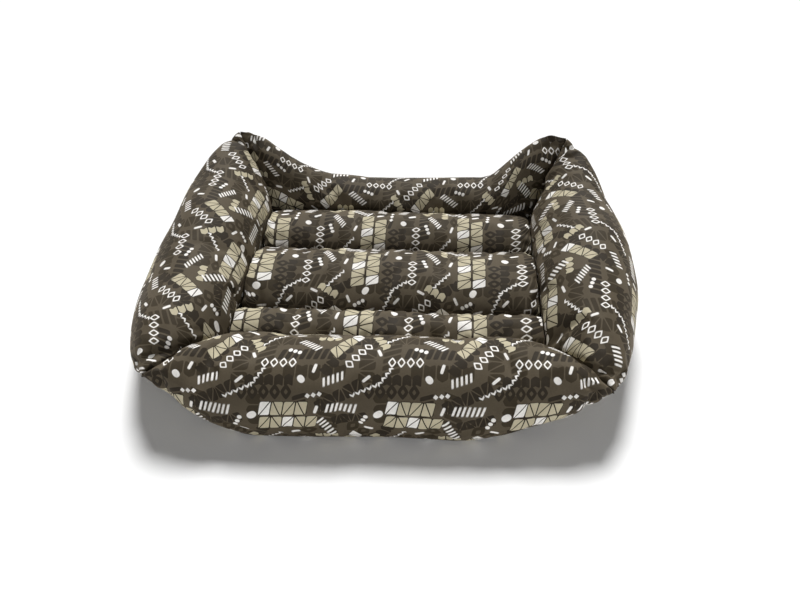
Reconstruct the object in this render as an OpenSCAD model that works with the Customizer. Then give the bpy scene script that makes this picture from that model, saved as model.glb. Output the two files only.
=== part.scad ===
// Dog sofa bed: four stuffed bolsters sewn round a nest, with a loose
// channel-quilted seat cushion that lifts straight out of it.
// X runs across the bed, Y from the entrance to the back, Z up from the floor.

/* [Nest] */
// Clear width between the side bolsters
nest_w = 450; // [380:5:560]
// Clear depth between the entrance bolster and the rear bolster
nest_d = 344; // [300:2:420]

/* [Bolsters] */
// Thickness of each side bolster
side_w = 146; // [130:2:175]
// Height of each side bolster half way along
side_h = 150; // [130:2:170]
// Thickness of the entrance bolster
front_w = 126; // [110:2:155]
// Height of the entrance bolster half way along
front_h = 118; // [105:1:140]
// Thickness of the rear bolster
rear_w = 94; // [85:1:120]
// Height of the rear bolster half way along
rear_h = 96; // [90:1:120]
// How far the weight of the filling flattens a bolster on the floor
settle = 28; // [12:1:34]
// Length over which a bolster swells from its sewn end to full thickness
plump_reach = 170; // [110:5:200]

/* [Front corners] */
// Height of the seam's outer end at a front corner
tip_h = 86; // [60:1:105]
// How far that end stands outside the nest, sideways
tip_out = 76; // [60:1:100]
// How far that end stands in front of the nest
tip_fore = 101; // [80:1:120]
// Rise of the seam above a straight line
tip_bow = 2; // [0:1:20]
// Length of side bolster that the corner lowers
tip_reach = 190; // [150:5:200]
// Length of entrance bolster that the corner lifts
front_reach = 300; // [200:5:330]

/* [Rear corners] */
// Height of the peak where side and rear bolsters are sewn together
peak_h = 178; // [160:1:200]
// How far the peak leans sideways out of the nest
peak_out = 60; // [45:1:80]
// How far the peak leans back out of the nest
peak_back = 64; // [45:1:80]
// Rise of the seam above a straight line
peak_bow = 2; // [0:1:12]
// Length of side bolster that the peak lifts
side_reach = 140; // [110:2:150]
// Length of rear bolster that the peak lifts
rear_reach = 128; // [100:2:160]

/* [Cloth and seams] */
// Thickness of the printed cover cloth with its backing
cloth_t = 1.5; // [1:0.1:2]
// Radius of the rolled seam at each corner
seam_r = 2; // [1.5:0.1:2.5]
// Gap between pieces that lie on each other
fit_gap = 0.3; // [0.2:0.05:0.5]
// Length of one stitch
stitch_len = 6; // [4:0.5:7]
// Distance from one stitch to the next
stitch_step = 11; // [8:0.5:12]

/* [Base] */
// Thickness of the non-slip bottom cloth
base_t = 1.5; // [1:0.1:2.5]
// Width of the tape that binds its edge
binding_w = 6; // [4:0.5:9]
// Thickness of the lining under the seat cushion
lining_t = 1; // [0.8:0.1:1.5]

/* [Seat cushion] */
// Play between the cushion and the bolsters
seat_play = 1.5; // [1:0.5:4]
// Height of the cushion's edge seam above the floor
edge_h = 38; // [32:1:44]
// Crown of the middle channel above the edge seam
middle_crown = 50; // [40:1:58]
// Crown of the front and rear channels above the edge seam
outer_crown = 40; // [32:1:48]
// Distance from the front of the cushion to the front quilting
front_channel = 68; // [60:1:95]
// Distance from the front quilting to the rear quilting
middle_channel = 157; // [120:1:170]
// Width of the flat strip that the quilting holds down
quilt_land = 4; // [3:0.5:6]
// How far each quilted strip draws the sides in
quilt_draw = 7; // [4:1:12]
// How far the corners are rounded off
corner_draw = 12; // [8:1:20]
// Width of the sewn lip round the cushion
lip_w = 3; // [2:0.5:5]
// Thickness of that lip
lip_t = 2.5; // [1.5:0.5:3]

/* [Hidden] */

// How far the rear bolster stands out farther beside the peaks than in its middle, and the
// entrance bolster beside the front corners
ear_swell = 3.7;
tip_swell = 5.9;
// Nest centre, so that the whole bed is centred on the origin
nest_y = (front_w + tip_swell - rear_w - ear_swell) / 2;
nest_front = nest_y - nest_d / 2;
nest_rear = nest_y + nest_d / 2;

// Levels, from the floor up
cover_floor = base_t + fit_gap;
lining_top = cover_floor + lining_t;
seat_floor = lining_top + fit_gap;

// Bolster meshes: rings along a bolster and points round each ring
ring_count = 16;
ring_points = 16;
// Rings at each end of a bolster that hold no filling
empty_rings = 2;
// Half thickness of the two cloth layers at a sewn end, and of the slit between them
end_share = 1.4;
slit_share = 0.3;
// Room between a corner seam and the ends beside it, as a share of the gap
seam_room_share = 1.4;
end_half = end_share * cloth_t;
slit_half = slit_share * cloth_t;
seam_steps = 8;
seam_sides = 6;

// How late a bolster leaves the height of its sewn end: more than 1 holds it longer
side_hold_share = 0.7;
rear_hold_share = 1.4;

// Corner seams, each [outward, along, height, bow, reach, hold] as a side bolster meets them,
// and turned for the front and rear bolsters
tip_for_side = [tip_out, tip_fore, tip_h, tip_bow, tip_reach, 1];
tip_for_front = [tip_fore, tip_out, tip_h, tip_bow, front_reach, 1];
peak_for_side = [peak_out, peak_back, peak_h, peak_bow, side_reach, side_hold_share];
peak_for_rear = [peak_back, peak_out, peak_h, peak_bow, rear_reach, rear_hold_share];

// Bolsters, each [half of the nest side it closes, thickness, height, first end, second end]
side_bolster = [nest_d / 2, side_w, side_h, peak_for_side, tip_for_side];
front_bolster = [nest_w / 2, front_w, front_h, tip_for_front, tip_for_front];
rear_bolster = [nest_w / 2, rear_w, rear_h, peak_for_rear, peak_for_rear];

// Seat cushion plan
seat_half_w = nest_w / 2 - seat_play - lip_w;
seat_front = nest_front + seat_play + lip_w;
seat_rear = nest_rear - seat_play - lip_w;
front_quilt_y = seat_front + front_channel;
rear_quilt_y = front_quilt_y + middle_channel;
// Each channel is [front edge, rear edge, crown, draw at front, draw at rear]
seat_channels = [
  [seat_front, front_quilt_y - quilt_land / 2, outer_crown, 1, 0],
  [front_quilt_y + quilt_land / 2, rear_quilt_y - quilt_land / 2, middle_crown, 0, 0],
  [rear_quilt_y + quilt_land / 2, seat_rear, outer_crown, 0, 1]
];
// How far the cushion would sag below its edge seam if nothing held it up
sag_share = 1.25;
seat_sag = sag_share * edge_h;
channel_steps = 6;
// Shares of the half width at which the cushion's mesh has a column
side_shares = [0.35, 0.7, 0.9, 0.97, 1];
column_shares = concat([for (i = [len(side_shares) - 1:-1:0]) -side_shares[i]], [0], side_shares);
// How sharply the crown falls at the sides, and how late the corners round off
side_fall = 10;
corner_fall = 6;

// Base cloth: share of a bolster's thickness that it reaches under, and how squarely
base_reach_share = 0.78;
base_side_steps = 10;
base_round = 0.8;
// Stitches: width, height, and distance from the edge of the lining
stitch_w = 1.2;
stitch_t = 0.5;
lining_play = 1;
stitch_inset = 5;

cover_colour = [0.27, 0.25, 0.22];
lining_colour = [0.2, 0.19, 0.17];
filling_colour = [0.93, 0.93, 0.9];
thread_colour = [0.16, 0.15, 0.13];
base_colour = [0.1, 0.1, 0.1];

function clamp01(x) = min(max(x, 0), 1);
// Smooth step from 0 to 1
function ease(x) = let (c = clamp01(x)) c * c * (3 - 2 * c);
// Quarter-round rise from 0 to 1
function swell(x) = let (c = clamp01(x)) sqrt(1 - (1 - c) * (1 - c));
function flatten(rows) = [for (row = rows) each row];
function mix(a, b, share) = a + (b - a) * share;

// Triangles between rings that close on themselves
function band_faces(rings, points, start = 0, inward = false) = [
  for (i = [0:rings - 2]) for (j = [0:points - 1]) let (
    a = start + i * points + j,
    b = start + i * points + (j + 1) % points,
    c = b + points,
    d = a + points
  ) each (inward ? [[a, b, c], [a, c, d]] : [[a, c, b], [a, d, c]])
];

// Triangles of an open grid
function sheet_faces(rows, columns, start = 0, under = false) = [
  for (i = [0:rows - 2]) for (j = [0:columns - 2]) let (
    a = start + i * columns + j,
    b = a + 1,
    c = b + columns,
    d = a + columns
  ) each (under ? [[a, b, c], [a, c, d]] : [[a, c, b], [a, d, c]])
];

// Index of each point round the rim of an open grid, in order
function rim(rows, columns) = concat(
  [for (j = [0:columns - 1]) j],
  [for (i = [1:rows - 1]) i * columns + columns - 1],
  [for (j = [columns - 2:-1:0]) (rows - 1) * columns + j],
  [for (i = [rows - 2:-1:1]) i * columns]
);

// A closed solid between two grids of the same size
module slab(upper, lower) {
  rows = len(upper);
  columns = len(upper[0]);
  count = rows * columns;
  edge = rim(rows, columns);
  sides = [
    for (i = [0:len(edge) - 1]) let (a = edge[i], b = edge[(i + 1) % len(edge)])
      each [[a, b, b + count], [a, b + count, a + count]]
  ];
  polyhedron(
    concat(flatten(upper), flatten(lower)),
    concat(sheet_faces(rows, columns), sheet_faces(rows, columns, count, true), sides)
  );
}

// A tube of cloth, open at both ends
module sleeve(outer, inner) {
  rings = len(outer);
  points = len(outer[0]);
  count = rings * points;
  first = [
    for (j = [0:points - 1]) let (k = (j + 1) % points)
      each [[j, k, k + count], [j, k + count, j + count]]
  ];
  last = [
    for (j = [0:points - 1]) let (a = count - points + j, b = count - points + (j + 1) % points)
      each [[a, b + count, b], [a, a + count, b + count]]
  ];
  polyhedron(
    concat(flatten(outer), flatten(inner)),
    concat(band_faces(rings, points), band_faces(rings, points, count, true), first, last)
  );
}

// A closed solid through a list of rings. Strips across each end close it, from each point to
// the one opposite, so that the end may bend.
module loft(rings) {
  points = len(rings[0]);
  last = (len(rings) - 1) * points;
  strips = [
    for (j = [0:points / 2 - 1]) let (next = j + 1, across = points - next)
      each concat(next < across ? [[j, next, across]] : [], j > 0 ? [[j, across, across + 1]] : [])
  ];
  caps = [for (t = strips) each [t, [last + t[0], last + t[2], last + t[1]]]];
  polyhedron(flatten(rings), concat(band_faces(len(rings), points), caps));
}

// Slope of the mitre plane at a bolster's end, the plane's angle, and a distance measured along
// the bolster that stands for a distance square to that plane
function mitre_slope(end) = end[1] / end[0];
function mitre_angle(end) = atan2(end[1], end[0]);
function mitre_step(end, distance) = distance * sqrt(1 + mitre_slope(end) * mitre_slope(end));

// How far from the mitre plane a flattened end lies, so that its near edge runs along the seam
function seam_stand(end) =
  let (
    rise = end[2] - cover_floor,
    run = norm([end[0], end[1]]),
    lean = atan2(rise, end[0]),
    mitre = mitre_angle(end),
    clear = seam_r + seam_room_share * fit_gap,
    towards = end_half * sin(lean) * sin(mitre),
    turned = sin(lean) * cos(mitre) * rise + cos(lean) * run,
    beside = end_half * turned / norm([run, rise])
  )
  max(clear, towards + sqrt(max(clear * clear - beside * beside, 0)));

// One ring of a bolster, as [along, outward, up] from the middle of its nest side.
// tau runs from 0 at the first end to 1 at the second. inset moves every point inwards.
function bolster_ring(bolster, tau, inset = 0) =
  let (
    half = bolster[0],
    first = bolster[3],
    second = bolster[4],
    reach_a = 1 - pow(ease(tau * 2 * half / first[4]), first[5]),
    reach_b = 1 - pow(ease((1 - tau) * 2 * half / second[4]), second[5]),
    middle = 1 - reach_a - reach_b,
    // The middle of the bolster is a round bag that has settled on the floor
    round_up = (bolster[2] - cover_floor + settle) / 2,
    stretch = mix(1, bolster[1] / 2 / round_up, middle),
    lean_a = atan2(first[2] - cover_floor, first[0]),
    lean_b = atan2(second[2] - cover_floor, second[0]),
    chord_a = norm([first[2] - cover_floor, first[0]]) / 2,
    chord_b = norm([second[2] - cover_floor, second[0]]) / 2,
    lean = reach_a * lean_a + reach_b * lean_b + middle * (lean_a + lean_b) / 2,
    chord = reach_a * chord_a + reach_b * chord_b + middle * round_up,
    bow = reach_a * first[3] + reach_b * second[3],
    plump = swell(tau * 2 * half / plump_reach) * swell((1 - tau) * 2 * half / plump_reach),
    thick = mix(end_half, round_up, plump),
    centre_out = stretch * norm([chord * cos(lean), thick * sin(lean)]),
    centre_up = cover_floor + norm([chord * sin(lean), thick * cos(lean)]) - settle * plump,
    chord_in = chord - inset,
    thick_in = max(thick - inset, slit_half),
    floor_up = cover_floor + inset,
    keep_a = mitre_step(first, fit_gap / 2 + inset),
    keep_b = mitre_step(second, fit_gap / 2 + inset),
    stand_a = seam_stand(first),
    stand_b = seam_stand(second),
    end_a = stand_a * cos(mitre_angle(first)),
    end_b = stand_b * cos(mitre_angle(second)),
    aside = reach_a * stand_a * sin(mitre_angle(first)) + reach_b * stand_b * sin(mitre_angle(second))
  )
  [
    for (j = [0:ring_points - 1])
      let (
        s = cos(360 * j / ring_points) * chord_in / chord,
        w = sin(360 * j / ring_points),
        out = centre_out + aside + stretch * (s * chord * cos(lean) - w * thick_in * sin(lean)),
        up = centre_up + s * chord * sin(lean) + w * thick_in * cos(lean) + bow * (1 - s * s),
        from_a = -half - first[1] * (s + 1) / 2 + end_a,
        to_b = half + second[1] * (s + 1) / 2 - end_b,
        along = mix(from_a, to_b, tau),
        least = -half - out * mitre_slope(first) + keep_a,
        most = half + out * mitre_slope(second) - keep_b
      )
      [min(max(along, least), most), out, max(up, floor_up)]
  ];

function ring_place(i) = (1 - cos(180 * i / ring_count)) / 2;

module bolster_cover(bolster) {
  color(cover_colour)
    sleeve(
      [for (i = [0:ring_count]) bolster_ring(bolster, ring_place(i))],
      [for (i = [0:ring_count]) bolster_ring(bolster, ring_place(i), cloth_t)]
    );
}

module bolster_filling(bolster) {
  color(filling_colour)
    loft([
      for (i = [empty_rings:ring_count - empty_rings])
        bolster_ring(bolster, ring_place(i), cloth_t + fit_gap)
    ]);
}

// Places for what is modelled along one side of the nest
module at_front() {
  translate([0, nest_front, 0]) rotate([0, 0, 180]) children();
}

module at_rear() {
  translate([0, nest_rear, 0]) children();
}

module at_right() {
  translate([nest_w / 2, nest_y, 0]) rotate([0, 0, -90]) children();
}

module at_left() {
  mirror([1, 0, 0]) at_right() children();
}

// A rolled seam from a nest corner to the corner's outer end. out is [x, y] of that end
// from the nest corner.
module corner_seam(corner, out, height, bow) {
  normal = [out[1], -out[0], 0] / norm(out);
  least = lining_top + fit_gap + seam_r;
  path = [
    for (i = [0:seam_steps]) let (f = i / seam_steps)
      [
        corner[0] + out[0] * f,
        corner[1] + out[1] * f,
        max(mix(cover_floor, height, f) + bow * 4 * f * (1 - f), least)
      ]
  ];
  rings = [
    for (i = [0:seam_steps]) let (
      ahead = path[min(i + 1, seam_steps)] - path[max(i - 1, 0)],
      tangent = ahead / norm(ahead),
      side = cross(tangent, normal)
    ) [
      for (k = [0:seam_sides - 1]) let (turn = 360 * k / seam_sides)
        path[i] + seam_r * (cos(turn) * normal + sin(turn) * side)
    ]
  ];
  color(thread_colour) loft(rings);
}

module front_corner_seam() {
  corner_seam([nest_w / 2, nest_front], [tip_out, -tip_fore], tip_h, tip_bow);
}

module rear_corner_seam() {
  corner_seam([nest_w / 2, nest_rear], [peak_out, peak_back], peak_h, peak_bow);
}

// One side of the base cloth's outline, from the first corner up to the second
function base_side(a, b, bulge) = [
  for (i = [0:base_side_steps - 1]) let (f = i / base_side_steps)
    mix(a, b, f) + bulge * pow(sin(180 * f), base_round)
];

// Outline of the base cloth, grown by a distance
function base_outline(grow = 0) =
  let (
    x = nest_w / 2 + grow,
    front_y = nest_front - grow,
    rear_y = nest_rear + grow,
    side_bulge = base_reach_share * side_w
  )
  concat(
    base_side([-x, front_y], [x, front_y], [0, -base_reach_share * front_w]),
    base_side([x, front_y], [x, rear_y], [side_bulge, 0]),
    base_side([x, rear_y], [-x, rear_y], [0, base_reach_share * rear_w]),
    base_side([-x, rear_y], [-x, front_y], [-side_bulge, 0])
  );

module base_sheet() {
  color(base_colour) linear_extrude(base_t) polygon(base_outline());
}

module base_binding() {
  color(thread_colour)
    translate([0, 0, fit_gap])
      linear_extrude(base_t - fit_gap)
        difference() {
          polygon(base_outline(fit_gap + binding_w));
          polygon(base_outline(fit_gap));
        }
}

module base_lining() {
  half_x = nest_w / 2 - lining_play;
  color(lining_colour)
    translate([-half_x, nest_front + lining_play, cover_floor])
      cube([2 * half_x, nest_d - 2 * lining_play, lining_t]);
}

// A straight row of stitches along X, centred, with its underside at the origin
module stitch_row(length) {
  count = floor((length - stitch_len) / stitch_step);
  for (i = [0:count])
    translate([(i - count / 2) * stitch_step - stitch_len / 2, -stitch_w / 2, 0])
      cube([stitch_len, stitch_w, stitch_t]);
}

// Stitches that hold the lining to the four bolsters
module base_stitches() {
  inset = lining_play + stitch_inset;
  along_x = nest_w - 4 * inset;
  along_y = nest_d - 4 * inset;
  color(thread_colour)
    translate([0, nest_y, lining_top]) {
      for (side = [-1, 1]) {
        translate([0, side * (nest_d / 2 - inset), 0]) stitch_row(along_x);
        translate([side * (nest_w / 2 - inset), 0, 0]) rotate([0, 0, 90]) stitch_row(along_y);
      }
    }
}

// One point of the seat cushion. channel is an entry of seat_channels, v runs from -1 at its
// front to 1 at its rear, p from -1 at the left to 1 at the right, up is 1 for the top panel
// and -1 for the bottom one.
function seat_point(channel, v, p, inset, up) =
  let (
    middle = (channel[0] + channel[1]) / 2,
    half = (channel[1] - channel[0]) / 2 - inset,
    arch = sqrt(max(1 - v * v, 0)),
    fall = sqrt(max(1 - pow(abs(p), side_fall), 0)),
    half_w = seat_half_w - quilt_draw * (1 - arch) - inset,
    trim = corner_draw * pow(abs(p), corner_fall),
    at_edge = abs(p) == 1 || (v == -1 && channel[3] == 1) || (v == 1 && channel[4] == 1),
    skin = at_edge ? min(cloth_t - inset, 0) : cloth_t - inset,
    crown = up > 0 ? channel[2] : seat_sag,
    z = edge_h + up * (fit_gap / 2 + skin + crown * arch * fall),
    y = middle + v * half + trim * (channel[3] * (1 - v) - channel[4] * (1 + v)) / 2
  )
  [p * half_w, y, max(z, seat_floor + inset)];

// Share from -1 to 1 across a channel, closer together at its edges
function channel_share(k) =
  k == 0 ? -1 : k == channel_steps ? 1 : -cos(180 * k / channel_steps);

function seat_grid(inset, up) = [
  for (channel = seat_channels) for (k = [0:channel_steps])
    [for (p = column_shares) seat_point(channel, channel_share(k), p, inset, up)]
];

module seat_top_panel() {
  color(cover_colour) slab(seat_grid(0, 1), seat_grid(cloth_t, 1));
}

module seat_bottom_panel() {
  color(lining_colour) slab(seat_grid(cloth_t, -1), seat_grid(0, -1));
}

// Filling of one channel, clear of the panels and of the quilting at its edges
module seat_filling(channel) {
  inset = cloth_t + fit_gap;
  columns = [for (i = [1:len(column_shares) - 2]) column_shares[i]];
  rows = [for (k = [1:channel_steps - 1]) channel_share(k)];
  color(filling_colour)
    slab(
      [for (v = rows) [for (p = columns) seat_point(channel, v, p, inset, 1)]],
      [for (v = rows) [for (p = columns) seat_point(channel, v, p, inset, -1)]]
    );
}

// Outline of the cushion's edge, grown by a distance
function seat_outline(grow) =
  let (
    side = [
      for (channel = seat_channels) for (k = [0:channel_steps])
        let (
          v = channel_share(k),
          edge = seat_point(channel, v, 1, 0, 1),
          ends = channel[4] * (v == 1 ? 1 : 0) - channel[3] * (v == -1 ? 1 : 0)
        )
        [edge[0] + grow, edge[1] + ends * grow]
    ],
    last = len(seat_channels) - 1,
    rear = [
      for (i = [len(column_shares) - 2:-1:1])
        let (edge = seat_point(seat_channels[last], 1, column_shares[i], 0, 1))
        [edge[0], edge[1] + grow]
    ],
    front = [
      for (i = [1:len(column_shares) - 2])
        let (edge = seat_point(seat_channels[0], -1, column_shares[i], 0, 1))
        [edge[0], edge[1] - grow]
    ]
  )
  concat(side, rear, [for (i = [len(side) - 1:-1:0]) [-side[i][0], side[i][1]]], front);

module seat_edge_seam() {
  color(thread_colour)
    translate([0, 0, edge_h - lip_t / 2])
      linear_extrude(lip_t)
        difference() {
          polygon(seat_outline(lip_w));
          polygon(seat_outline(fit_gap));
        }
}

// Quilting across the cushion, with a row of stitches on each face
module seat_quilting(y) {
  above = edge_h + fit_gap / 2 + cloth_t;
  below = edge_h - fit_gap / 2 - cloth_t - stitch_t;
  length = 2 * (seat_half_w - quilt_draw - stitch_inset);
  color(thread_colour)
    for (z = [above, below])
      translate([0, y, z]) stitch_row(length);
}

base_sheet();
base_binding();
base_lining();
base_stitches();
at_front() bolster_cover(front_bolster);  // front_bolster_cover
at_rear() bolster_cover(rear_bolster);  // rear_bolster_cover
at_left() bolster_cover(side_bolster);  // left_bolster_cover
at_right() bolster_cover(side_bolster);  // right_bolster_cover
at_front() bolster_filling(front_bolster);  // front_bolster_filling
at_rear() bolster_filling(rear_bolster);  // rear_bolster_filling
at_left() bolster_filling(side_bolster);  // left_bolster_filling
at_right() bolster_filling(side_bolster);  // right_bolster_filling
mirror([1, 0, 0]) front_corner_seam();  // front_left_corner_seam
front_corner_seam();  // front_right_corner_seam
mirror([1, 0, 0]) rear_corner_seam();  // rear_left_corner_seam
rear_corner_seam();  // rear_right_corner_seam
seat_top_panel();
seat_bottom_panel();
seat_edge_seam();
seat_filling(seat_channels[0]);  // seat_front_filling
seat_filling(seat_channels[1]);  // seat_middle_filling
seat_filling(seat_channels[2]);  // seat_rear_filling
seat_quilting(front_quilt_y);  // seat_front_quilting
seat_quilting(rear_quilt_y);  // seat_rear_quilting
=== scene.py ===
"""Dog sofa bed: the visible model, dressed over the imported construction.

Four stuffed bolsters are sewn round a nest, and a channel-quilted cushion lies loose in it. X runs
across the bed, Y from the entrance to the back and Z up from the floor, in metres.
"""

import logging
import math
from dataclasses import dataclass, field
from enum import Enum
from typing import ClassVar, Sequence

import bmesh
import bpy
import numpy as np
from mathutils import Matrix, Vector


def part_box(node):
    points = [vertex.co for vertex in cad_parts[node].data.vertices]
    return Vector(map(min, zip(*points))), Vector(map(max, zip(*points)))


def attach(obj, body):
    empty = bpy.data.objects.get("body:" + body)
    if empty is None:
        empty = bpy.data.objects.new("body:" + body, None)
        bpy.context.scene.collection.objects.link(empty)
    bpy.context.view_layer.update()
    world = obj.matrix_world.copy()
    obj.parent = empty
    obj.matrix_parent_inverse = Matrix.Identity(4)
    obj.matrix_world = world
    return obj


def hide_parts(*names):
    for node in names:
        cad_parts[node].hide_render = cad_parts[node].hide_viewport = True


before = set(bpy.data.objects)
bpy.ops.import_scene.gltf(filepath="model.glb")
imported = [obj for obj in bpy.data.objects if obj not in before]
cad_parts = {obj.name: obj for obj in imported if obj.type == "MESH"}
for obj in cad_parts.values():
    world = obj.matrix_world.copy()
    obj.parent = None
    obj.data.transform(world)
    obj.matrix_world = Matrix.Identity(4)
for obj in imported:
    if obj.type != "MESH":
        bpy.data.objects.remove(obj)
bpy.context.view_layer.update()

Thing, Material = bpy.types.Object, bpy.types.Material
Tree, Node, Socket = bpy.types.NodeTree, bpy.types.Node, bpy.types.NodeSocket
Colour = tuple[float, ...]
Faces = list[tuple[int, ...]]
Solid = tuple[np.ndarray, Faces]

log = logging.getLogger("dog_sofa_bed")
MM = 0.001
TURN = 2 * math.pi
UP = np.array([0.0, 0.0, 1.0])
WHITE = (1.0, 1.0, 1.0, 1.0)
CLOTH_MAP = "ClothMap"


class Side(Enum):
    """The side of the nest that a bolster closes: its outward direction in the floor plane."""

    FRONT = (0.0, -1.0)
    REAR = (0.0, 1.0)
    LEFT = (-1.0, 0.0)
    RIGHT = (1.0, 0.0)


class Body(Enum):
    """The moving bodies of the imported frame."""

    BED = "bed"
    CUSHION = "seat_cushion"


class Slot(Enum):
    """The record's material slots."""

    PRINT = "print_cloth"
    LINING = "lining_cloth"
    BASE = "base_cloth"
    THREAD = "seam_thread"
    FIBRE = "fibre_filling"


def ease(x: np.ndarray) -> np.ndarray:
    """Smooth step from 0 to 1."""
    c = np.clip(x, 0.0, 1.0)
    return c * c * (3.0 - 2.0 * c)


def swell(x: np.ndarray) -> np.ndarray:
    """Quarter-round rise from 0 to 1."""
    c = np.clip(x, 0.0, 1.0)
    return np.sqrt(1.0 - (1.0 - c) ** 2)


def mix(a: np.ndarray, b: np.ndarray, share: np.ndarray) -> np.ndarray:
    """Value between a and b."""
    return a + (b - a) * share


def srgb(*levels: int) -> Colour:
    """Blender's linear colour for red, green and blue from 0 to 255 as they show on a screen."""
    shares = (level / 255.0 for level in levels)
    return (*(v / 12.92 if v <= 0.04045 else ((v + 0.055) / 1.055) ** 2.4 for v in shares), 1.0)


# Shader nodes


class NodeSheet:
    """A small writer for node trees: makes nodes and links what is passed to them."""

    def __init__(self, tree: Tree) -> None:
        """Write into a tree."""
        self.tree = tree

    def feed(self, socket: Socket, value: object) -> None:
        """Link an output to a socket, or set the socket's own value.

        Args:
            socket: The input socket.
            value: An output socket or a constant.
        """
        if isinstance(value, Socket):
            self.tree.links.new(value, socket)
        else:
            socket.default_value = value

    def node(self, kind: str, *values: object, **settings: object) -> Node:
        """Add a node.

        Args:
            kind: Its type.
            values: What its first inputs get, in order.
            settings: Its properties.

        Returns:
            The node.
        """
        made = self.tree.nodes.new(kind)
        for name, value in settings.items():
            setattr(made, name, value)
        for socket, value in zip(made.inputs, values):
            self.feed(socket, value)
        return made

    def fill(self, made: Node, **values: object) -> Node:
        """Feed a node's inputs by their names, in which an underscore stands for a space.

        Args:
            made: The node.
            values: What each named input gets.

        Returns:
            The same node.
        """
        for name, value in values.items():
            self.feed(made.inputs[name.replace("_", " ")], value)
        return made

    def math(self, operation: str, *values: object, clamp: bool = False) -> Socket:
        """The result of a Math node."""
        return self.node("ShaderNodeMath", *values, operation=operation, use_clamp=clamp).outputs[0]

    def vector(self, operation: str, *values: object) -> Socket:
        """The result of a Vector Math node."""
        return self.node("ShaderNodeVectorMath", *values, operation=operation).outputs["Vector"]

    def scale(self, vector: object, factor: object) -> Socket:
        """A vector times a number."""
        return self.fill(self.vector("SCALE", vector).node, Scale=factor).outputs["Vector"]

    def split(self, vector: object) -> list[Socket]:
        """The X, Y and Z of a vector."""
        return list(self.node("ShaderNodeSeparateXYZ", vector).outputs)

    def mixed(self, factor: object, a: object, b: object, blend: str = "MIX") -> Socket:
        """Mix two colours.

        Args:
            factor: Share of the second colour.
            a: The first colour.
            b: The second colour.
            blend: How they are mixed.

        Returns:
            The mixed colour.
        """
        made = self.node("ShaderNodeMix", factor, data_type="RGBA", blend_type=blend)
        self.feed(made.inputs[6], a)
        self.feed(made.inputs[7], b)
        return made.outputs[2]

    def noise(self, vector: object, scale: float, detail: float) -> Socket:
        """The value of a Noise node."""
        made = self.node("ShaderNodeTexNoise", vector)
        return self.fill(made, Scale=scale, Detail=detail).outputs["Fac"]

    def spread(self, value: object, low: float, high: float) -> Socket:
        """A value from 0 to 1, mapped onto low to high."""
        return self.fill(self.node("ShaderNodeMapRange", value), To_Min=low, To_Max=high).outputs[0]

    def group(self, tree: Tree, **values: object) -> Node:
        """Place a node group."""
        return self.fill(self.node("ShaderNodeGroup", node_tree=tree), **values)


class GroupSheet(NodeSheet):
    """The writer of a new shader node group."""

    def __init__(
        self, name: str, vectors: Sequence[str], numbers: Sequence[str], outputs: Sequence[str]
    ) -> None:
        """Make the group with its named sockets.

        Args:
            name: The group's name.
            vectors: Its vector inputs.
            numbers: Its number inputs.
            outputs: Its outputs, numbers apart from "Color".
        """
        super().__init__(bpy.data.node_groups.new(name, "ShaderNodeTree"))
        sockets = [(label, "INPUT", "Vector") for label in vectors]
        sockets += [(label, "INPUT", "Float") for label in numbers]
        sockets += [(label, "OUTPUT", "Color" if label == "Color" else "Float") for label in outputs]
        for label, way, kind in sockets:
            self.tree.interface.new_socket(label, in_out=way, socket_type=f"NodeSocket{kind}")
        self.start = self.node("NodeGroupInput").outputs
        self.end = self.node("NodeGroupOutput")


class MaterialSheet(NodeSheet):
    """The writer of a new material, with the shader that it starts with."""

    def __init__(self, name: str) -> None:
        """Make the material.

        Args:
            name: Its name.
        """
        self.made = bpy.data.materials.new(name)
        self.made.use_nodes = True
        super().__init__(self.made.node_tree)
        self.shader = self.tree.nodes["Principled BSDF"]

    def place(self) -> Socket:
        """The object's own coordinates."""
        return self.node("ShaderNodeTexCoord").outputs["Object"]

    def cloth_place(self) -> Socket:
        """The place on the flat cloth."""
        return self.node("ShaderNodeUVMap", uv_map=CLOTH_MAP).outputs[0]

    def bump(self, height: object, strength: float, distance: float) -> None:
        """Raise the surface by a height."""
        made = self.fill(self.node("ShaderNodeBump"), Height=height, Strength=strength, Distance=distance)
        self.fill(self.shader, Normal=made.outputs[0])


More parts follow.
